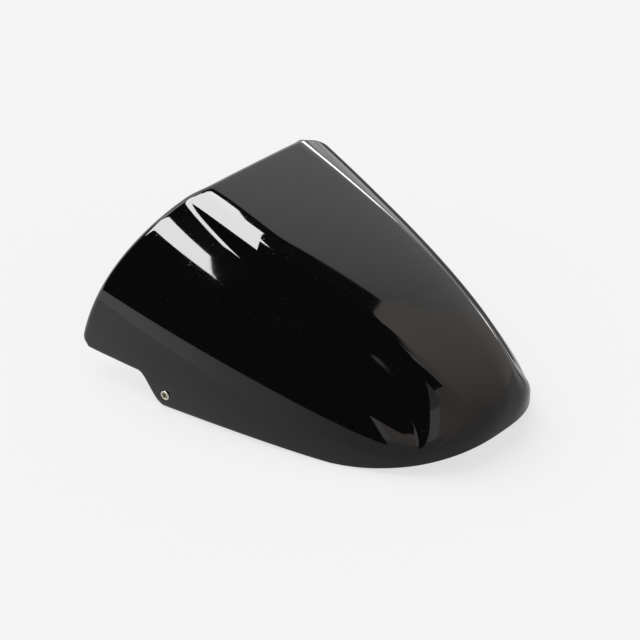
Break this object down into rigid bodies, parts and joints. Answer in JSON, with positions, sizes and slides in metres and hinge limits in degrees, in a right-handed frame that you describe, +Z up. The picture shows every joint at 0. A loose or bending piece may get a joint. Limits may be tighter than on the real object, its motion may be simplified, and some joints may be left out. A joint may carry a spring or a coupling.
{
  "type": "seat cowl",
  "caption": "One-piece gloss black moulded cowl that covers a motorbike's rear seat, open in front and below, with a pressed-in eyelet in each side lobe.",
  "frame": {"origin": "middle of the cowl's length and width, on the ground plane that its lobes rest on", "axes": "+X towards the tail, +Y towards the right side, +Z up"},
  "size_m": [0.3409, 0.3102, 0.1625],
  "materials": {
    "gloss_shell": "gloss",
    "eyelet_metal": "satin"
  },
  "bodies": {
    "root": {"cowl_shell": "gloss_shell", "eyelet_left": "eyelet_metal", "eyelet_right": "eyelet_metal"}
  },
  "joints": []
}
